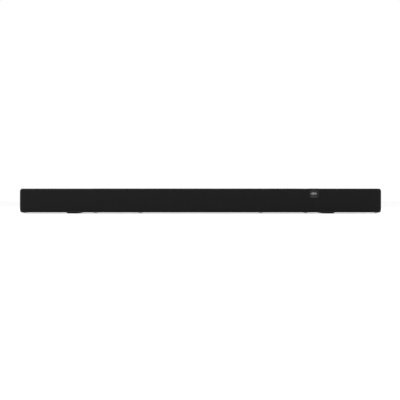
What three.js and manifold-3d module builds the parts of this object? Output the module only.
// A slim black soundbar, about 1.07 m long, modelled as the separate pieces it is assembled from.
//
// Millimetres. +X is to the listener's right, +Y runs from the listener to the wall, +Z is up.
// The origin is the middle of the footprint, on the surface that the rubber feet stand on.
//
// Build-up: a moulded chassis (floor, end walls, bulkheads) is closed in front by the baffle that
// carries the drivers, at the back by a cover with a cable bay, and by a thin top cover. A
// fabric-covered grille frame wraps the front and both ends between the floor's edge and the top
// cover's edge.
import * as THREE from "three";
import { mergeVertices } from "three/addons/utils/BufferGeometryUtils.js";
import Module from "manifold-3d";

const wasm = await Module();
wasm.setup();

// ---------------------------------------------------------------- driving dimensions

const LENGTH = 1070;
const BODY_HEIGHT = 71;
const FOOT_HEIGHT = 2.8;
const FRONT = -59; // face of the fabric: the badge stands 1 mm proud of it
const REAR = 60;

const END_ROUND = 7; // edges that run front to back
const LONG_ROUND = 4; // edges that run left to right
const FRONT_CORNER = 12; // upright corners, seen from above
const REAR_CORNER = 8;

const FLOOR_EDGE = 3.6; // edges of the floor and of the top cover that show
const COVER_EDGE = 3;
const REVEAL = 0.4; // shadow line between the fabric and those edges
const GAP = 0.3; // between pieces that meet
const WALL = 3;
const FABRIC = 0.8;
const GRILLE = 2.2;
const HEM = 1.1; // height of the fabric's edge, which is turned in over the frame's edge

const BOTTOM = FOOT_HEIGHT;
const TOP = BOTTOM + BODY_HEIGHT;
const FLOOR_TOP = BOTTOM + FLOOR_EDGE;
const COVER_BOTTOM = TOP - COVER_EDGE;
const MIDDLE = (BOTTOM + TOP) / 2;
const HALF = LENGTH / 2;
const BODY_DEPTH = REAR - FRONT;
const BODY_CENTRE = (FRONT + REAR) / 2;
const BEYOND = 20; // how far a cutting shape runs past what it cuts

// chassis
const BAFFLE_FRONT = -48;
const BAFFLE_BACK = -44;
const END_WALL = 527; // outer face of each end wall
const BULKHEAD = 183; // middle of each bulkhead
const WALL_TOP = COVER_BOTTOM - GAP;
const WALL_BACK = REAR - WALL - GAP;
const WRAP_BACK = 50; // where the fabric ends on the bar's ends
const MOULDED_IN = 0.5; // how deep a wall of the chassis sits in its floor
const BOSS = { offset: 4, half: 5, halfHeight: 5.5, depth: 16, low: 5, high: 6 };
const SCREW_HEAD = { radius: 3.5, sunk: 1.6 };

// drivers: where they sit along the bar
const SIDE_WOOFER = 385;
const CENTRE_WOOFER = 82;
const SIDE_TWEETER = 470;
const WOOFER = {
  straight: 22, cone: 16, hole: 20, wall: 22, flange: 27, flangeFront: -2.3, back: 2, depth: 14,
  coilHole: 14,
};
const TWEETER = { face: 22, pot: 17, depth: 16 };

// reflex ports and wall fixings
const TERMINAL_X = 37; // from a woofer's middle
const TERMINAL = { half: 3, high: 7, proud: 4 };
const PORT = { x: 265, bore: 16, mouth: 22.5, tube: 18, flange: 24, innerEnd: -8, flangeDepth: 6 };
const KEYHOLE = {
  x: 440, z: 38, width: 24, height: 48, round: 1.5, sunk: 0.8, screwRise: 18.5, screw: 1.6,
};
const KEYHOLE_CUT = { head: 4.5, headRise: -5, slot: 2.5, rise: 10 };
const KEYHOLE_ROOM = { halfWidth: 6, halfHeight: 12, depth: 9, boss: 11, bossWall: 2 };

// cable bay
const BAY = { half: 150, low: 14, high: 54, face: 36, wall: 2 };
const NOTCH = { x: 105, width: 16, coverFace: 42, floorFace: 50 };
const PANEL = 1.5;
const BOARD = 1.6;
const SOLDERED = 0.1; // how far a component is joined into its board
const BOARD_TOP = 27.6;
const BOARD_REAR = 33.5;
const BOARD_FRONT = -12;
const STANDOFF = { radius: 3, xs: [-158, -66, -38, 144], ys: [-6, 28] };
const VENT = { count: 13, pitch: 9, width: 2.5, low: 58.5, high: 65.5 };

// keys
const KEY = { width: 22, depth: 12, pitch: 32, travel: 0.8, round: 4, height: 3.8, edge: 0.5 };
const LEDGE = { reach: 2, thickness: 1.3 }; // keeps a key in its hole
const STEM_RADIUS = 2;
const SWITCH_TOP = 62.8;
const SWITCH = { half: 3, height: 1.8 };
const KEY_BOARD = { margin: 16, halfDepth: 12, top: SWITCH_TOP - SWITCH.height };
const PLUG_HEIGHT = 5; // the ribbon's connector under the key board
const RIBBON = { keyX: -48, boardX: -38, y: -2, width: 9, thickness: 0.5, socket: 4 };
const KEY_NAMES = ["power_key", "source_key", "mute_key", "volume_down_key", "volume_up_key"];
const TRIM = { x: -16, length: 614, depth: 84, proud: 0.3, thickness: 1.3, round: 10 };
const TRIM_TOP = TOP + TRIM.proud;

// feet
const FOOT = { inner: 348, outer: 397, halfDepth: 46, round: 4, lift: 0.4, sunk: 1.2, padThickness: 1.5 };
const FOOT_RAMP = { width: 17, lip: 0.1, bend: 7.65, bendDrop: 1.1 }; // on the side towards the middle
const FOOT_BEVEL = { width: 2, drop: 0.6 }; // on the outer side
const PAD = { inner: 366, outer: 394, halfDepth: 42, bite: 1.2, round: 5 };
const FOAM = { x: 215, half: 14, front: -38, back: 12, low: 12, high: 62 };

// badge
const BADGE = {
  x: 335.8, width: 27, drop: 27.3, back: 9, thickness: 0.7, forward: 1, proud: 0.3, round: 5,
  hookRound: 0.5,
};

// three.js draws an arc with twice as many facets as its number of steps
const SHELL_STEPS = 4; // corners of the outer shells
const CORNER_STEPS = 2;
const HALF_ROUND_STEPS = 4;
const CIRCLE_STEPS = 8;
const TURNED_FACETS = 16; // facets round a turned piece
const HOLE_FACETS = 24; // facets round a hole that shows from outside
const HALF_FACETS = 8; // facets on each half of a racetrack
const PEG_FACETS = 8;
const FACET_DIP = 0.1; // how far a large hole's flat facets come inside its radius, and some more
const ROLL_STEPS = 3;

// ---------------------------------------------------------------- materials

function finish(color, roughness, metalness = 0) {
  return new THREE.MeshStandardMaterial({ color, roughness, metalness });
}

const FABRIC_BLACK = finish(0x1f1f1f, 0.95);
const CABINET_BLACK = finish(0x1b1b1c, 0.55);
const TRIM_BLACK = finish(0x161617, 0.3);
const KEY_BLACK = finish(0x202022, 0.45);
const RUBBER_BLACK = finish(0x141414, 0.9);
const BADGE_GREY = finish(0x38383a, 0.4, 0.6);
const STEEL = finish(0xa9adb2, 0.35, 1);
const BASKET_STEEL = finish(0x26282a, 0.5, 0.4);
const FERRITE = finish(0x303033, 0.6, 0.3);
const CONE_BLACK = finish(0x18181a, 0.8);
const SOCKET_PLASTIC = finish(0x111112, 0.5);
const BOARD_GREEN = finish(0x143a26, 0.5);
const ALUMINIUM = finish(0xb9bcc0, 0.4, 1);
const CABLE_RED = finish(0x5a1414, 0.6);
const CABLE_WHITE = finish(0xd8d8d4, 0.5);
const FOAM_GREY = finish(0x3a3b3d, 1);

// ---------------------------------------------------------------- solids and placing

function solid(shape) {
  if (shape instanceof wasm.Manifold) return shape;
  const bare = shape.index ? shape.toNonIndexed() : shape.clone();
  bare.deleteAttribute("normal");
  bare.deleteAttribute("uv");
  const merged = mergeVertices(bare, 1e-3);
  return new wasm.Manifold(
    new wasm.Mesh({
      numProp: 3,
      vertProperties: merged.attributes.position.array,
      triVerts: merged.index.array,
    }),
  );
}

function join(...shapes) {
  return shapes.map(solid).reduce((whole, piece) => whole.add(piece));
}

function cut(shape, ...tools) {
  return tools.map(solid).reduce((whole, tool) => whole.subtract(tool), solid(shape));
}

function overlap(...shapes) {
  return shapes.map(solid).reduce((whole, piece) => whole.intersect(piece));
}

function geometryOf(shape) {
  if (!(shape instanceof wasm.Manifold)) return shape;
  const mesh = shape.getMesh();
  return new THREE.BufferGeometry()
    .setAttribute("position", new THREE.BufferAttribute(mesh.vertProperties, 3))
    .setIndex(new THREE.BufferAttribute(mesh.triVerts, 1));
}

function piece(name, shape, material, x = 0, y = 0, z = 0) {
  const mesh = new THREE.Mesh(geometryOf(shape), material);
  mesh.name = name;
  mesh.position.set(x, y, z);
  return mesh;
}

// ---------------------------------------------------------------- basic shapes

function box(x0, x1, y0, y1, z0, z1) {
  return new THREE.BoxGeometry(x1 - x0, y1 - y0, z1 - z0).translate(
    (x0 + x1) / 2,
    (y0 + y1) / 2,
    (z0 + z1) / 2,
  );
}

// A rectangle with round corners. The corners at low v and at high v may differ.
function roundedRect(width, height, low, high = low, u = 0, v = 0) {
  const [left, right] = [u - width / 2, u + width / 2];
  const [base, top] = [v - height / 2, v + height / 2];
  const quarter = Math.PI / 2;
  const shape = new THREE.Shape();
  shape.absarc(right - low, base + low, low, -quarter, 0);
  shape.absarc(right - high, top - high, high, 0, quarter);
  shape.absarc(left + high, top - high, high, quarter, 2 * quarter);
  shape.absarc(left + low, base + low, low, 2 * quarter, 3 * quarter);
  shape.closePath();
  return shape;
}

function circle(radius, u = 0, v = 0) {
  return new THREE.Shape().absarc(u, v, radius, 0, 2 * Math.PI);
}

function racetrack(straight, radius, u = 0, v = 0) {
  const half = Math.PI / 2;
  const shape = new THREE.Shape();
  shape.absarc(u + straight, v, radius, -half, half);
  shape.absarc(u - straight, v, radius, half, 3 * half);
  shape.closePath();
  return shape;
}

function prism(shape, depth, steps) {
  return new THREE.ExtrudeGeometry(shape, { depth, bevelEnabled: false, curveSegments: steps });
}

// The outline's u and v become X and Y.
function upright(shape, from, to, steps = CORNER_STEPS) {
  return prism(shape, to - from, steps).translate(0, 0, from);
}

// The outline's u and v become X and Z.
function frontToBack(shape, from, to, steps = CORNER_STEPS) {
  return prism(shape, to - from, steps)
    .rotateX(Math.PI / 2)
    .translate(0, to, 0);
}

// The outline's u and v become Y and Z.
function leftToRight(shape, from, to, steps = CORNER_STEPS) {
  const turn = new THREE.Matrix4().makeBasis(
    new THREE.Vector3(0, 1, 0),
    new THREE.Vector3(0, 0, 1),
    new THREE.Vector3(1, 0, 0),
  );
  return prism(shape, to - from, steps)
    .applyMatrix4(turn)
    .translate(from, 0, 0);
}

// A solid of revolution about Y, from a list of [radius, y].
function turned(profile, steps = TURNED_FACETS) {
  return new THREE.LatheGeometry(
    profile.map(([r, y]) => new THREE.Vector2(r, y)),
    steps,
  );
}

function rod(radius, from, to, x = 0, z = 0, facets = TURNED_FACETS) {
  return new THREE.CylinderGeometry(radius, radius, to - from, facets).translate(
    x,
    (from + to) / 2,
    z,
  );
}

function post(radius, from, to, x, y, facets = 6) {
  return new THREE.CylinderGeometry(radius, radius, to - from, facets)
    .rotateX(Math.PI / 2)
    .translate(x, y, (from + to) / 2);
}

// A ring of points on a racetrack round the Y axis. A straight of 0 makes it a circle.
function racetrackRing(straight, radius, y) {
  const points = [];
  for (const side of [1, -1]) {
    for (let i = 0; i < HALF_FACETS; i += 1) {
      const angle = (-0.5 + (i + 0.5) / HALF_FACETS) * Math.PI;
      const [along, up] = [Math.cos(angle), Math.sin(angle)];
      points.push([side * (straight + radius * along), y, side * radius * up]);
    }
  }
  return points;
}

// Skins a list of [straight, radius, y] rings. A loop joins its last ring to its first; otherwise
// a cap closes each end.
function skinned(rings, loop) {
  const points = rings.flatMap(([straight, radius, y]) => racetrackRing(straight, radius, y));
  const count = 2 * HALF_FACETS;
  const faces = [];
  const bands = loop ? rings.length : rings.length - 1;
  for (let band = 0; band < bands; band += 1) {
    const [a, b] = [band * count, ((band + 1) % rings.length) * count];
    for (let i = 0; i < count; i += 1) {
      const j = (i + 1) % count;
      faces.push(a + i, a + j, b + i, a + j, b + j, b + i);
    }
  }
  if (!loop) {
    const last = (rings.length - 1) * count;
    for (let i = 1; i < count - 1; i += 1) {
      faces.push(0, i + 1, i, last, last + i, last + i + 1);
    }
  }
  return new THREE.BufferGeometry()
    .setAttribute("position", new THREE.Float32BufferAttribute(points.flat(), 3))
    .setIndex(faces);
}

// ---------------------------------------------------------------- the body's outer form

// The rounded block that every outside surface lies on, shrunk by inset on every side.
function block(inset, steps = CORNER_STEPS) {
  const shrink = (radius) => Math.max(radius - inset, 0.5);
  const [length, depth] = [LENGTH - 2 * inset, BODY_DEPTH - 2 * inset];
  const height = BODY_HEIGHT - 2 * inset;
  const end = shrink(END_ROUND);
  const long = shrink(LONG_ROUND);
  const front = roundedRect(length, height, end, end, 0, MIDDLE);
  const plan = roundedRect(
    length, depth, shrink(FRONT_CORNER), shrink(REAR_CORNER), 0, BODY_CENTRE,
  );
  const side = roundedRect(depth, height, long, long, BODY_CENTRE, MIDDLE);
  return overlap(
    frontToBack(front, FRONT - BEYOND, REAR + BEYOND, steps),
    upright(plan, BOTTOM - BEYOND, TOP + BEYOND, steps),
    leftToRight(side, -HALF - BEYOND, HALF + BEYOND, steps),
  );
}

function slice(shape, y0, y1, z0, z1) {
  return overlap(shape, box(-HALF - BEYOND, HALF + BEYOND, y0, y1, z0, z1));
}

// A skin that wraps the front and both ends, between the floor's edge and the cover's edge.
function wrap(outer, thickness, back, margin) {
  const skin = cut(block(outer), slice(block(outer + thickness), FRONT, REAR + BEYOND, 0, TOP));
  return slice(skin, FRONT - 1, back, FLOOR_TOP + margin, COVER_BOTTOM - margin);
}

const SIDES = [-1, 1];
const WALLS = [END_WALL - WALL / 2, BULKHEAD]; // middle of each upright wall, on either side
const SCREW_HEIGHTS = [FLOOR_TOP + BOSS.low, WALL_TOP - BOSS.high];
const DISPLAY = { x: 255, boardHalf: 32, boardHigh: 9, half: 26, high: 5, proud: 5 };
const PEG_RADIUS = 3;
const PEG_PLACES = [-505, -300, -170, 170, 300, 505]; // pegs that hold the grille to the baffle
const CHIP_HEIGHT = 1.3;
const CABLE_PLUG = { half: 5, halfDepth: 4, height: 6 };
const CABLE_Y = 20;
const CABLE_STARTS = [-30, 134];
const WOOFER_PLACES = [
  ["left", -SIDE_WOOFER],
  ["centre_left", -CENTRE_WOOFER],
  ["centre_right", CENTRE_WOOFER],
  ["right", SIDE_WOOFER],
];
const TWEETER_PLACES = [
  ["left", -SIDE_TWEETER],
  ["centre", 0],
  ["right", SIDE_TWEETER],
];

// ---------------------------------------------------------------- chassis and covers

function mainChassis() {
  const floor = slice(block(0, SHELL_STEPS), FRONT - 1, REAR + 1, BOTTOM - 1, FLOOR_TOP);
  const sunk = FLOOR_TOP - MOULDED_IN;
  const walls = [];
  const cuts = [];
  for (const side of SIDES) {
    for (const x of WALLS) {
      const [near, far] = [side * x - WALL / 2, side * x + WALL / 2];
      walls.push(box(near, far, BAFFLE_BACK + GAP, WALL_BACK, sunk, WALL_TOP));
      walls.push(...SCREW_HEIGHTS.map((z) => screwBoss(side * (x - BOSS.offset), z)));
    }
    // a thicker pad of floor over each foot's socket
    const [near, far] = side < 0 ? [-FOOT.outer, -FOOT.inner] : [FOOT.inner, FOOT.outer];
    const padBack = FOOT.halfDepth + WALL;
    const padTop = FLOOR_TOP + FOOT.padThickness;
    walls.push(box(near - WALL, far + WALL, BAFFLE_BACK + GAP, padBack, sunk, padTop));
    cuts.push(footBlock(side, GAP, BOTTOM - 1, BOTTOM + FOOT.sunk + GAP));
    // the speaker cable passes each bulkhead through a slot at the floor
    const slot = side * BULKHEAD;
    const [slotWidth, slotHeight] = [10, 8];
    const [y0, y1] = [CABLE_Y - slotWidth / 2, CABLE_Y + slotWidth / 2];
    cuts.push(box(slot - WALL, slot + WALL, y0, y1, FLOOR_TOP, FLOOR_TOP + slotHeight));
    cuts.push(cableNotch(side, NOTCH.floorFace, BOTTOM - 1, FLOOR_TOP + 1));
  }
  const standoffs = STANDOFF.xs.flatMap((x) =>
    STANDOFF.ys.map((y) => post(STANDOFF.radius, sunk, BOARD_TOP - BOARD - GAP, x, y)),
  );
  return cut(join(floor, ...walls, ...standoffs), ...cuts);
}

// The plate that the drivers and the grille's pegs sit in, fastened to the walls' front edges.
function driverBaffle() {
  const [front, back] = [BAFFLE_FRONT - 1, BAFFLE_BACK + 1];
  const woofers = WOOFER_PLACES.map(([, x]) => {
    const hole = racetrack(WOOFER.straight, WOOFER.wall + GAP, x, MIDDLE);
    return frontToBack(hole, front, back, HALF_ROUND_STEPS);
  });
  const tweeters = TWEETER_PLACES.map(([, x]) => rod(TWEETER.pot + GAP, front, back, x, MIDDLE));
  const pegs = PEG_PLACES.map((x) => rod(PEG_RADIUS + GAP, front, back, x, MIDDLE, PEG_FACETS));
  const plate = box(-END_WALL, END_WALL, BAFFLE_FRONT, BAFFLE_BACK, FLOOR_TOP + GAP, WALL_TOP);
  return cut(plate, ...woofers, ...tweeters, ...pegs);
}

// A notch in the rear edge lets the cables out downwards when the bar hangs on a wall.
function cableNotch(side, face, z0, z1) {
  const [middle, half] = [side * NOTCH.x, NOTCH.width / 2];
  return box(middle - half, middle + half, face, REAR + 1, z0, z1);
}

// A block that the rear cover is screwed to, at the back edge of a wall.
function screwBoss(x, z) {
  const { half, halfHeight, depth } = BOSS;
  return box(x - half, x + half, WALL_BACK - depth, WALL_BACK, z - halfHeight, z + halfHeight);
}

// The round seat of the screw's head, in the rear cover.
function screwSeat(x, z) {
  return rod(SCREW_HEAD.radius, REAR - SCREW_HEAD.sunk, REAR + 1, x, z);
}

function rearCover() {
  const [low, high] = [FLOOR_TOP + GAP, COVER_BOTTOM - GAP];
  const inside = slice(block(WALL, SHELL_STEPS), FRONT, REAR, BOTTOM - 1, TOP + 1);
  const open = box(-HALF + WALL, HALF - WALL, FRONT, REAR - WALL, BOTTOM, TOP);
  const shell = slice(
    cut(block(0, SHELL_STEPS), inside, open),
    WRAP_BACK + GAP,
    REAR + 1,
    low,
    high,
  );
  const bayHalf = BAY.half + BAY.wall;
  const bay = box(
    -bayHalf, bayHalf, BAY.face, REAR - 1, BAY.low - BAY.wall, BAY.high + BAY.wall,
  );
  const added = [shell, bay];
  const cuts = [box(-BAY.half, BAY.half, BAY.face - 1, REAR + 1, BAY.low, BAY.high)];
  for (const side of SIDES) {
    cuts.push(cableNotch(side, NOTCH.coverFace, low - 1, BAY.low + 1));
    cuts.push(portHole(side * PORT.x));
    cuts.push(...SCREW_HEIGHTS.flatMap((z) => WALLS.map((x) => screwSeat(side * (x - BOSS.offset), z))));
    added.push(keyholeBoss(side * KEYHOLE.x));
    cuts.push(...keyholeHollow(side * KEYHOLE.x));
  }
  return cut(join(...added), ...cuts, ...ventSlots());
}

function portHole(x) {
  const radius = PORT.flange + GAP + FACET_DIP;
  return rod(radius, REAR - WALL - BEYOND, REAR + 1, x, MIDDLE, 2 * HOLE_FACETS);
}

// A row of slots over the amplifier.
function ventSlots() {
  const slots = [];
  for (let i = 0; i < VENT.count; i += 1) {
    const x = (i - (VENT.count - 1) / 2) * VENT.pitch;
    const [near, far] = [x - VENT.width / 2, x + VENT.width / 2];
    slots.push(box(near, far, REAR - WALL - 1, REAR + 1, VENT.low, VENT.high));
  }
  return slots;
}

// The moulded block that a wall-fixing plate is screwed into.
function keyholeBoss(x) {
  const { boss, bossWall } = KEYHOLE_ROOM;
  const [w, h] = [KEYHOLE.width / 2 + bossWall, KEYHOLE.height / 2 + bossWall];
  return box(x - w, x + w, REAR - boss, REAR - 1, KEYHOLE.z - h, KEYHOLE.z + h);
}

// The plate's seat, and behind it the room that a wall screw's head slides in.
function keyholeHollow(x) {
  const { z, width, height, sunk } = KEYHOLE;
  const { halfWidth, halfHeight, depth } = KEYHOLE_ROOM;
  const [w, h] = [width / 2, height / 2];
  const seat = REAR - sunk - PANEL - GAP;
  return [
    box(x - w, x + w, seat, REAR + 1, z - h, z + h),
    box(x - halfWidth, x + halfWidth, REAR - depth, REAR + 1, z - halfHeight, z + halfHeight),
  ];
}

function topCover() {
  const plate = slice(block(0, SHELL_STEPS), FRONT - 1, REAR + 1, COVER_BOTTOM, TOP + 1);
  const [length, depth] = [TRIM.length + 2 * GAP, TRIM.depth + 2 * GAP];
  const pocket = roundedRect(length, depth, TRIM.round, TRIM.round, TRIM.x, 0);
  const pocketFloor = TRIM_TOP - TRIM.thickness - GAP;
  return cut(
    plate,
    upright(pocket, pocketFloor, TOP + 1, SHELL_STEPS),
    badgeTab(GAP),
    ...keyHoles(),
  );
}

function trimPanel() {
  const outline = roundedRect(TRIM.length, TRIM.depth, TRIM.round, TRIM.round, TRIM.x, 0);
  return cut(upright(outline, TRIM_TOP - TRIM.thickness, TRIM_TOP, SHELL_STEPS), ...keyHoles());
}

// ---------------------------------------------------------------- grille and badge

// The frame that carries the fabric has a window in front of each driver and of the display.
function grilleFrame() {
  const frame = wrap(FABRIC + GAP, GRILLE, WRAP_BACK - 1, REVEAL + HEM);
  const window = (shape, steps) => frontToBack(shape, FRONT - 1, BAFFLE_FRONT - 1, steps);
  const [wooferWidth, wooferHeight, wooferRound] = [2 * (WOOFER.straight + WOOFER.wall), 50, 12];
  const wooferWindow = (x) => roundedRect(wooferWidth, wooferHeight, wooferRound, wooferRound, x, MIDDLE);
  const [displayWidth, displayHeight, displayRound] = [56, 14, 3];
  const displayWindow = roundedRect(
    displayWidth, displayHeight, displayRound, displayRound, DISPLAY.x, MIDDLE,
  );
  const windows = [
    ...WOOFER_PLACES.map(([, x]) => window(wooferWindow(x), CORNER_STEPS)),
    ...TWEETER_PLACES.map(([, x]) => window(circle(TWEETER.pot + 2, x, MIDDLE), CIRCLE_STEPS)),
    window(displayWindow, 1),
  ];
  const back = FRONT + FABRIC + GAP + GRILLE;
  const pegs = PEG_PLACES.map((x) => rod(PEG_RADIUS, back - 1, BAFFLE_BACK, x, MIDDLE, PEG_FACETS));
  return join(cut(frame, ...windows), ...pegs);
}

// A thin tab that lies on the fabric and hooks over the front top edge, with round lower corners.
// A positive grow makes the pocket that it lies in.
function badgeTab(grow) {
  const [outerY, outerZ] = [FRONT - BADGE.forward - grow, TOP + BADGE.proud + grow];
  const thickness = BADGE.thickness + 2 * grow;
  const outerRound = LONG_ROUND + BADGE.proud + grow;
  const [innerY, innerZ] = [outerY + thickness, outerZ - thickness];
  const innerRound = outerRound - thickness;
  const low = TOP - BADGE.drop - grow;
  const back = FRONT + BADGE.back + grow;
  const half = Math.PI / 2;
  const section = new THREE.Shape();
  section.moveTo(outerY, low);
  section.lineTo(innerY, low);
  section.absarc(innerY + innerRound, innerZ - innerRound, innerRound, 2 * half, half, true);
  section.lineTo(back, innerZ);
  section.lineTo(back, outerZ);
  section.absarc(outerY + outerRound, outerZ - outerRound, outerRound, half, 2 * half, false);
  section.closePath();
  const width = BADGE.width / 2 + grow;
  const height = outerZ - low;
  const outline = roundedRect(
    2 * width, height, BADGE.round, BADGE.hookRound, BADGE.x, (outerZ + low) / 2,
  );
  return overlap(
    leftToRight(section, BADGE.x - width, BADGE.x + width, SHELL_STEPS),
    frontToBack(outline, FRONT - BEYOND, FRONT + BEYOND, SHELL_STEPS),
  );
}

// ---------------------------------------------------------------- drivers, local to the baffle

// The terminal strip is at the end that faces the middle of the bar.
function wooferBasket(inwards) {
  const { straight, hole, wall, flange, flangeFront, back, depth, coilHole } = WOOFER;
  const layer = (radius, from, to) =>
    frontToBack(racetrack(straight, radius), from, to, HALF_ROUND_STEPS);
  const can = join(layer(flange, flangeFront, -GAP), layer(wall, -GAP - MOULDED_IN, depth));
  const [width, height, round, windowX] = [12, 26, 3, 26];
  const windows = SIDES.map((side) => {
    const outline = roundedRect(width, height, round, round, side * windowX, 0);
    return frontToBack(outline, depth - back - 2, depth + 1, 1);
  });
  const opened = cut(
    can,
    layer(hole, flangeFront - 1, depth - back),
    rod(coilHole, depth - back - 1, depth + 1),
    ...windows,
  );
  const terminalX = inwards * TERMINAL_X;
  const { half, high, proud } = TERMINAL;
  const strip = box(terminalX - half, terminalX + half, depth - MOULDED_IN, depth + proud, -high, high);
  return join(opened, strip);
}

// Top plate, ferrite ring, back plate and pole, with the ring-shaped gap that the coil works in.
function wooferMagnet() {
  const front = WOOFER.depth + GAP;
  const [pole, gapOuter, ring, outer] = [12, 13.9, 16, 22];
  const [plate, inside, back] = [front + 3, front + 13, front + 17];
  return turned([
    [0, front],
    [pole, front],
    [pole, inside],
    [ring, inside],
    [ring, plate],
    [gapOuter, plate],
    [gapOuter, front],
    [outer, front],
    [outer, back],
    [0, back],
  ]);
}

// Dust cap, cone and voice coil former in one shell, open at the back.
function wooferCone() {
  const { straight, cone } = WOOFER;
  return skinned(
    [
      [0, 3, 2.6],
      [0, 9, 3.6],
      [0, 13, 5.6],
      [straight, cone, -1.6],
      [straight, cone, -0.9],
      [0, 13.2, 7],
      [0, 13.2, 20],
      [0, 12.5, 20],
      [0, 12.4, 6.6],
      [0, 3, 3.4],
    ],
    false,
  );
}

// The rubber half roll between the cone's lip and the basket's flange.
function wooferSurround() {
  const { straight, cone } = WOOFER;
  const [middle, base, outer, inner] = [2.6, -2.6, 2.2, 1.6];
  const rings = [];
  for (let i = 0; i <= ROLL_STEPS; i += 1) {
    const angle = (i / ROLL_STEPS) * Math.PI;
    rings.push([middle - outer * Math.cos(angle), base - outer * Math.sin(angle)]);
  }
  rings.push([7.6, base - 0.5], [7.6, base], [middle + inner, base]);
  for (let i = ROLL_STEPS - 1; i >= 0; i -= 1) {
    const angle = (i / ROLL_STEPS) * Math.PI;
    rings.push([middle - inner * Math.cos(angle), base - inner * Math.sin(angle)]);
  }
  return skinned(rings.map(([offset, y]) => [straight, cone + offset, y]).reverse(), true);
}

function tweeterBody() {
  const { face, pot, depth } = TWEETER;
  return turned([
    [0, 1],
    [11, 1],
    [11, -1.2],
    [15, -2.2],
    [19, -3.3],
    [face, -3.3],
    [face, -GAP],
    [pot, -GAP],
    [pot, depth],
    [0, depth],
  ]);
}

function tweeterDome() {
  return turned(
    [
      [0, -3.4],
      [5.5, -2.5],
      [9, -0.8],
      [10.4, 0],
      [10.4, 0.5],
      [8.4, 0.1],
      [5, -1.7],
      [0, -2.6],
    ],
    12,
  );
}

function woofer(label, x) {
  const group = new THREE.Group();
  group.position.set(x, BAFFLE_FRONT, MIDDLE);
  group.add(
    piece(label + "_woofer_basket", wooferBasket(-Math.sign(x)), BASKET_STEEL),
    piece(label + "_woofer_magnet", facingOut(wooferMagnet()), FERRITE),
    piece(label + "_woofer_cone", facingOut(wooferCone()), CONE_BLACK),
    piece(label + "_woofer_surround", facingOut(wooferSurround()), RUBBER_BLACK),
  );
  return group;
}

function tweeter(label, x) {
  const group = new THREE.Group();
  group.position.set(x, BAFFLE_FRONT, MIDDLE);
  group.add(
    piece(label + "_tweeter_body", facingOut(tweeterBody()), CABINET_BLACK),
    piece(label + "_tweeter_dome", facingOut(tweeterDome()), CONE_BLACK),
  );
  return group;
}

// Turns a geometry's faces round if they point inwards.
function facingOut(geometry) {
  const made = geometry.index ? geometry.toNonIndexed() : geometry.clone();
  const p = made.attributes.position;
  const [a, b, c] = [new THREE.Vector3(), new THREE.Vector3(), new THREE.Vector3()];
  let volume = 0;
  for (let i = 0; i < p.count; i += 3) {
    a.fromBufferAttribute(p, i);
    b.fromBufferAttribute(p, i + 1);
    c.fromBufferAttribute(p, i + 2);
    volume += a.dot(b.cross(c));
  }
  if (volume < 0) {
    for (let i = 0; i < p.count; i += 3) {
      b.fromBufferAttribute(p, i + 1);
      c.fromBufferAttribute(p, i + 2);
      p.setXYZ(i + 1, c.x, c.y, c.z);
      p.setXYZ(i + 2, b.x, b.y, b.z);
    }
  }
  return made;
}

function portTube() {
  const { bore, mouth, tube, flange, innerEnd, flangeDepth } = PORT;
  return turned(
    [
      [bore, innerEnd],
      [tube, innerEnd],
      [tube, REAR - flangeDepth],
      [flange, REAR - flangeDepth],
      [flange, REAR],
      [mouth, REAR],
      [mouth - 3.5, REAR - 3],
      [bore + 0.8, REAR - 8],
      [bore, REAR - 14],
      [bore, innerEnd],
    ],
    20,
  );
}

// ---------------------------------------------------------------- keys

function keyX(index) {
  return (index - (KEY_NAMES.length - 1) / 2) * KEY.pitch;
}

function keyHoles() {
  return KEY_NAMES.map((_, i) => {
    const round = KEY.round + GAP;
    const hole = roundedRect(
      KEY.width + 2 * GAP, KEY.depth + 2 * GAP, round, round, keyX(i), 0,
    );
    return upright(hole, COVER_BOTTOM - 1, TRIM_TOP + 1, SHELL_STEPS);
  });
}

// A key's cap, the ledge that keeps it in, and the stem that works the switch.
function key() {
  const { width, depth, height, edge, round } = KEY;
  const top = roundedRect(width - 2 * edge, depth - 2 * edge, round - edge);
  const cap = new THREE.ExtrudeGeometry(top, {
    depth: height - edge,
    bevelThickness: edge,
    bevelSize: edge,
    bevelSegments: 2,
    curveSegments: SHELL_STEPS,
  }).translate(0, 0, TRIM_TOP - height);
  const [ledgeX, ledgeY] = [width / 2 + LEDGE.reach, depth / 2 + LEDGE.reach];
  const ledgeTop = COVER_BOTTOM - GAP;
  const ledge = box(-ledgeX, ledgeX, -ledgeY, ledgeY, ledgeTop - LEDGE.thickness, ledgeTop);
  const stem = post(STEM_RADIUS, SWITCH_TOP + KEY.travel + GAP, COVER_BOTTOM - 1, 0, 0);
  return join(cap, ledge, stem);
}

function keyBoard() {
  const { margin, halfDepth, top } = KEY_BOARD;
  const under = top - BOARD;
  const half = keyX(KEY_NAMES.length - 1) + margin;
  const board = box(-half, half, -halfDepth, halfDepth, under, top);
  const switches = KEY_NAMES.map((_, i) => {
    const x = keyX(i);
    return box(x - SWITCH.half, x + SWITCH.half, -SWITCH.half, SWITCH.half, top - SOLDERED, SWITCH_TOP);
  });
  const { keyX: x, y } = RIBBON;
  const [plugHalf, plugHalfDepth] = [4, 7];
  const plug = box(
    x - plugHalf, x + plugHalf, y - plugHalfDepth, y + plugHalfDepth, under - PLUG_HEIGHT,
    under + SOLDERED,
  );
  return join(board, ...switches, plug);
}

// ---------------------------------------------------------------- electronics

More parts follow.
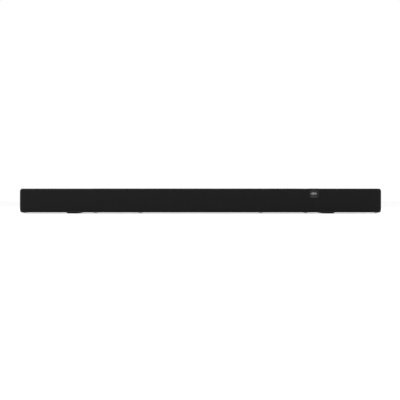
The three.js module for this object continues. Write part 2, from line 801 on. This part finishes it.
const SOCKETS = {
  ac_inlet: { x: -112, width: 24, height: 16, depth: 18 },
  usb_socket: { x: -20, width: 13.4, height: 6.6, depth: 14 },
  network_socket: { x: 16, width: 16, height: 13.4, depth: 18 },
  hdmi_socket: { x: 54, width: 15.4, height: 6.4, depth: 12 },
  optical_socket: { x: 88, width: 10.6, height: 10.4, depth: 13 },
  aux_socket: { x: 116, width: 8, height: 7, depth: 13 },
};
const SOCKET_FACE = BAY.face - GAP;
const SOCKET_BASE = BOARD_TOP + GAP;
const PANEL_BACK = SOCKET_FACE - PANEL;

// Each socket's block, with its mouth cut in from the bay side.
function socketBlock({ width, height, depth }) {
  return box(-width / 2, width / 2, -depth, 0, 0, height);
}

function acInlet() {
  const spec = SOCKETS.ac_inlet;
  const z = spec.height / 2;
  const [mouthDepth, lobe, pinX, pinRadius, pinShort] = [12, 5, 4.3, 1.2, 2];
  const mouth = frontToBack(racetrack(lobe, lobe, 0, z), -mouthDepth, 1, 6);
  const pins = SIDES.map((side) =>
    rod(pinRadius, -mouthDepth - MOULDED_IN, -pinShort, side * pinX, z, 12),
  );
  return join(cut(socketBlock(spec), mouth), ...pins);
}

function usbSocket() {
  const spec = SOCKETS.usb_socket;
  const [wall, mouthDepth, tongueHalf, tongueShort] = [0.7, 11, 5.5, 1];
  const mouthHalf = spec.width / 2 - wall;
  const mouth = box(-mouthHalf, mouthHalf, -mouthDepth, 1, wall, spec.height - wall);
  const [tongueLow, tongueHigh] = [3.6, 5.4];
  const tongue = box(
    -tongueHalf, tongueHalf, -mouthDepth - MOULDED_IN, -tongueShort, tongueLow, tongueHigh,
  );
  return join(cut(socketBlock(spec), mouth), tongue);
}

function networkSocket() {
  const spec = SOCKETS.network_socket;
  const [mouthDepth, mouthHalf, mouthLow, mouthHigh] = [13, 5.9, 3.6, 11.6];
  const [latchHalf, latchLow] = [3, 1.6];
  const mouth = box(-mouthHalf, mouthHalf, -mouthDepth, 1, mouthLow, mouthHigh);
  const latch = box(-latchHalf, latchHalf, -mouthDepth, 1, latchLow, mouthLow + MOULDED_IN);
  return cut(socketBlock(spec), mouth, latch);
}

function hdmiSocket() {
  const spec = SOCKETS.hdmi_socket;
  const [narrow, wide, low, shoulder, high] = [5, 7, 0.9, 2.6, 5.5];
  const mouth = new THREE.Shape(
    [
      [-narrow, low],
      [narrow, low],
      [wide, shoulder],
      [wide, high],
      [-wide, high],
      [-wide, shoulder],
    ].map(([u, v]) => new THREE.Vector2(u, v)),
  );
  const [mouthDepth, tongueHalf, tongueShort, tongueLow, tongueHigh] = [8.5, 5.4, 1, 2.9, 3.9];
  const tongue = box(
    -tongueHalf, tongueHalf, -mouthDepth - MOULDED_IN, -tongueShort, tongueLow, tongueHigh,
  );
  return join(cut(socketBlock(spec), frontToBack(mouth, -mouthDepth, 1)), tongue);
}

function opticalSocket() {
  const spec = SOCKETS.optical_socket;
  const [mouthHalf, mouthDepth, mouthLow] = [4, 9, 1.2];
  return cut(
    socketBlock(spec),
    box(-mouthHalf, mouthHalf, -mouthDepth, 1, mouthLow, mouthLow + 2 * mouthHalf),
  );
}

function auxSocket() {
  const spec = SOCKETS.aux_socket;
  const [boreRadius, boreDepth] = [1.8, 11];
  return cut(socketBlock(spec), rod(boreRadius, -boreDepth, 1, 0, spec.height / 2));
}

const SOCKET_PIECES = {
  ac_inlet: [acInlet, SOCKET_PLASTIC],
  usb_socket: [usbSocket, STEEL],
  network_socket: [networkSocket, STEEL],
  hdmi_socket: [hdmiSocket, STEEL],
  optical_socket: [opticalSocket, SOCKET_PLASTIC],
  aux_socket: [auxSocket, SOCKET_PLASTIC],
};

function socketPieces() {
  return Object.entries(SOCKET_PIECES).map(([name, [make, material]]) =>
    piece(name, make(), material, SOCKETS[name].x, SOCKET_FACE, SOCKET_BASE),
  );
}

function ioPanel() {
  const lap = 1.5; // behind the edges of the bay's back opening
  const plate = box(
    -BAY.half - lap, BAY.half + lap, PANEL_BACK, SOCKET_FACE, BAY.low - lap, BAY.high + lap,
  );
  const holes = Object.values(SOCKETS).map(({ x, width, height }) =>
    box(
      x - width / 2 - GAP, x + width / 2 + GAP, PANEL_BACK - 1, SOCKET_FACE + 1,
      SOCKET_BASE - GAP, SOCKET_BASE + height + GAP,
    ),
  );
  return cut(plate, ...holes);
}

// A board with its larger components, from a list of [x, y, width, depth, height].
function board(x0, x1, parts) {
  const raised = parts.map(([x, y, width, depth, height]) =>
    box(
      x - width / 2, x + width / 2, y - depth / 2, y + depth / 2, BOARD_TOP - SOLDERED,
      BOARD_TOP + height,
    ),
  );
  return join(box(x0, x1, BOARD_FRONT, BOARD_REAR, BOARD_TOP - BOARD, BOARD_TOP), ...raised);
}

// Shielded processor, wireless module, two amplifier chips under the heat sink, output coils,
// the ribbon's connector, and on the underside the two speaker cables' connectors.
function mainBoard() {
  const { boardX, y } = RIBBON;
  const made = board(-44, 150, [
    [-18, 2, 24, 20, 4],
    [10, -4, 14, 12, 3],
    [50, 2, 12, 10, CHIP_HEIGHT],
    [90, 2, 12, 10, CHIP_HEIGHT],
    [124, 0, 10, 10, 9],
    [138, 0, 10, 10, 9],
    [boardX, y, 6, 13, RIBBON.socket],
  ]);
  const under = BOARD_TOP - BOARD;
  const { half, halfDepth, height } = CABLE_PLUG;
  const plugs = CABLE_STARTS.map((x) =>
    box(x - half, x + half, CABLE_Y - halfDepth, CABLE_Y + halfDepth, under - height, under + SOLDERED),
  );
  return join(made, ...plugs);
}

// The flat cable between the key board and the main board, in a loose S.
function keyRibbon() {
  const { keyX: fromX, boardX: toX, y, width, thickness } = RIBBON;
  const high = KEY_BOARD.top - BOARD - PLUG_HEIGHT - GAP;
  const low = BOARD_TOP + RIBBON.socket + GAP;
  const points = [
    [fromX, high],
    [fromX, high - 5],
    [(fromX + toX) / 2, (high + low) / 2],
    [toX, low + 5],
    [toX, low],
  ].map(([x, z]) => new THREE.Vector3(x, y, z));
  const section = new THREE.Shape([
    new THREE.Vector2(-width / 2, -thickness / 2),
    new THREE.Vector2(width / 2, -thickness / 2),
    new THREE.Vector2(width / 2, thickness / 2),
    new THREE.Vector2(-width / 2, thickness / 2),
  ]);
  return new THREE.ExtrudeGeometry(section, {
    steps: 12,
    bevelEnabled: false,
    extrudePath: new THREE.CatmullRomCurve3(points),
  });
}

// Transformer, reservoir capacitors and filter choke.
function powerSupplyBoard() {
  const made = board(-165, -58, [
    [-84, 8, 28, 24, 22],
    [-150, 2, 12, 20, 16],
    [-140, 26, 14, 10, 12],
    [-66, 24, 10, 12, 6],
  ]);
  const [radius, height, y] = [6.5, 24, -3];
  const capacitors = [-128, -112].map((x) =>
    post(radius, BOARD_TOP - SOLDERED, BOARD_TOP + height, x, y, 12),
  );
  return join(made, ...capacitors);
}

// A base with upright fins, pressed onto the amplifier chips.
function heatSink() {
  const [x0, x1, front, count, pitch, fin, plate, height] = [30, 110, -10, 6, 4.4, 1.6, 3, 21];
  const base = BOARD_TOP + CHIP_HEIGHT + GAP;
  const rear = front + (count - 1) * pitch + fin;
  const fins = [];
  for (let i = 0; i < count; i += 1) {
    const y = front + i * pitch;
    fins.push(box(x0, x1, y, y + fin, base + plate - MOULDED_IN, base + height));
  }
  return join(box(x0, x1, front, rear, base, base + plate), ...fins);
}

function displayModule() {
  const { x, boardHalf, boardHigh, half, high, proud } = DISPLAY;
  const back = BAFFLE_FRONT - GAP;
  const face = back - BOARD;
  return join(
    box(x - boardHalf, x + boardHalf, face, back, MIDDLE - boardHigh, MIDDLE + boardHigh),
    box(x - half, x + half, back - proud, face + SOLDERED, MIDDLE - high, MIDDLE + high),
  );
}

// From the main board, down to the floor, through the bulkhead's slot and up to the woofer.
function speakerCable(side) {
  const radius = 1.8;
  const low = FLOOR_TOP + radius + 1.2;
  const high = BOARD_TOP - BOARD - CABLE_PLUG.height - GAP;
  const start = CABLE_STARTS[side < 0 ? 0 : 1];
  const terminalX = side * (SIDE_WOOFER - TERMINAL_X);
  const terminalY = BAFFLE_FRONT + WOOFER.depth + TERMINAL.proud + GAP;
  const points = [
    [start, CABLE_Y, high],
    [start, CABLE_Y, high - 4],
    [start + side * 6, CABLE_Y, low + 2],
    [start + side * 20, CABLE_Y, low],
    [side * (BULKHEAD + 12), CABLE_Y, low],
    [side * 250, 30, low],
    [side * 318, 26, low + 4],
    [terminalX, 8, MIDDLE - 18],
    [terminalX, terminalY + 9, MIDDLE],
    [terminalX, terminalY, MIDDLE],
  ].map(([x, y, z]) => new THREE.Vector3(x, y, z));
  return new THREE.ExtrudeGeometry(circle(radius), {
    steps: 24,
    curveSegments: 4,
    bevelEnabled: false,
    extrudePath: new THREE.CatmullRomCurve3(points),
  });
}

// ---------------------------------------------------------------- wall fixings and feet

// A steel plate with a keyhole: the screw's head goes in low down, and its shank slides up.
// Two small screws hold it to the rear cover.
function keyholePlate() {
  const [w, h] = [KEYHOLE.width - 2 * GAP, KEYHOLE.height - 2 * GAP];
  const { head, headRise, slot, rise } = KEYHOLE_CUT;
  const round = slot - 0.1; // a full half circle would leave a corner of no length
  const slotMiddle = headRise + rise / 2;
  const slotOutline = roundedRect(2 * slot, rise + 2 * slot, round, round, 0, slotMiddle);
  const through = (outline) => frontToBack(outline, -PANEL - 1, 1, SHELL_STEPS);
  return cut(
    frontToBack(roundedRect(w, h, KEYHOLE.round), -PANEL, 0),
    rod(head, -PANEL - 1, 1, 0, headRise, HOLE_FACETS),
    through(slotOutline),
    ...SIDES.map((side) => rod(KEYHOLE.screw, -PANEL - 1, 1, 0, side * KEYHOLE.screwRise)),
  );
}

function keyholePlateAt(name, x) {
  return piece(name, keyholePlate(), STEEL, x, REAR - KEYHOLE.sunk, KEYHOLE.z);
}

// A wedge-sided carrier in a socket of the floor, ramped on the side towards the bar's middle.
function footCarrier(side) {
  const { inner, outer, halfDepth, lift } = FOOT;
  const top = BOTTOM + FOOT.sunk;
  const section = new THREE.Shape(
    [
      [inner, BOTTOM - FOOT_RAMP.lip],
      [inner + FOOT_RAMP.bend, BOTTOM - FOOT_RAMP.bendDrop],
      [inner + FOOT_RAMP.width, lift],
      [outer - FOOT_BEVEL.width, lift],
      [outer, BOTTOM - FOOT_BEVEL.drop],
      [outer, top],
      [inner, top],
    ].map(([u, v]) => new THREE.Vector2(side * u, v)),
  );
  return cut(
    overlap(frontToBack(section, -halfDepth, halfDepth), footBlock(side, 0, 0, top + 1)),
    padBlock(side, GAP, -1, lift + PAD.bite + GAP),
  );
}

// The carrier's outline from above. A positive grow makes its socket in the floor.
function footBlock(side, grow, from, to) {
  return uprightBlock(FOOT, side, grow, from, to);
}

// The rubber pad. A positive grow makes its socket in the carrier.
function padBlock(side, grow, from, to) {
  return uprightBlock(PAD, side, grow, from, to);
}

function uprightBlock({ inner, outer, halfDepth, round }, side, grow, from, to) {
  const [width, depth] = [outer - inner + 2 * grow, 2 * (halfDepth + grow)];
  const corner = round + grow;
  const middle = (side * (outer + inner)) / 2;
  return upright(roundedRect(width, depth, corner, corner, middle, 0), from, to);
}

// ---------------------------------------------------------------- assembly

const soundbar = new THREE.Group();

soundbar.add(
  piece("main_chassis", mainChassis(), CABINET_BLACK),
  piece("driver_baffle", driverBaffle(), CABINET_BLACK),
  piece("rear_cover", rearCover(), CABINET_BLACK),
  piece("top_cover", topCover(), CABINET_BLACK),
  piece("top_trim_panel", trimPanel(), TRIM_BLACK),
  piece("grille_frame", grilleFrame(), CABINET_BLACK),
  piece("grille_fabric", wrap(0, FABRIC, WRAP_BACK, REVEAL), FABRIC_BLACK),
  piece("badge_plate", badgeTab(0), BADGE_GREY),
  piece("io_panel", ioPanel(), CABINET_BLACK),
  piece("main_board", mainBoard(), BOARD_GREEN),
  piece("power_supply_board", powerSupplyBoard(), BOARD_GREEN),
  piece("amplifier_heat_sink", heatSink(), ALUMINIUM),
  piece("key_board", keyBoard(), BOARD_GREEN),
  piece("key_ribbon_cable", facingOut(keyRibbon()), CABLE_WHITE),
  piece("display_module", displayModule(), SOCKET_PLASTIC),
  ...socketPieces(),
);

KEY_NAMES.forEach((name, i) => soundbar.add(piece(name, key(), KEY_BLACK, keyX(i))));
WOOFER_PLACES.forEach(([label, x]) => soundbar.add(woofer(label, x)));
TWEETER_PLACES.forEach(([label, x]) => soundbar.add(tweeter(label, x)));

for (const [label, side] of [["left", -1], ["right", 1]]) {
  const foamX = side * FOAM.x;
  const foam = box(foamX - FOAM.half, foamX + FOAM.half, FOAM.front, FOAM.back, FOAM.low, FOAM.high);
  const pad = padBlock(side, 0, 0, FOOT.lift + PAD.bite);
  soundbar.add(
    piece(label + "_foot_carrier", footCarrier(side), CABINET_BLACK),
    piece(label + "_foot_pad", pad, RUBBER_BLACK),
    piece(label + "_port_tube", facingOut(portTube()), CABINET_BLACK, side * PORT.x, 0, MIDDLE),
    keyholePlateAt(label + "_keyhole_plate", side * KEYHOLE.x),
    piece(label + "_speaker_cable", facingOut(speakerCable(side)), CABLE_RED),
    piece(label + "_damping_foam", foam, FOAM_GREY),
  );
}

export default soundbar;
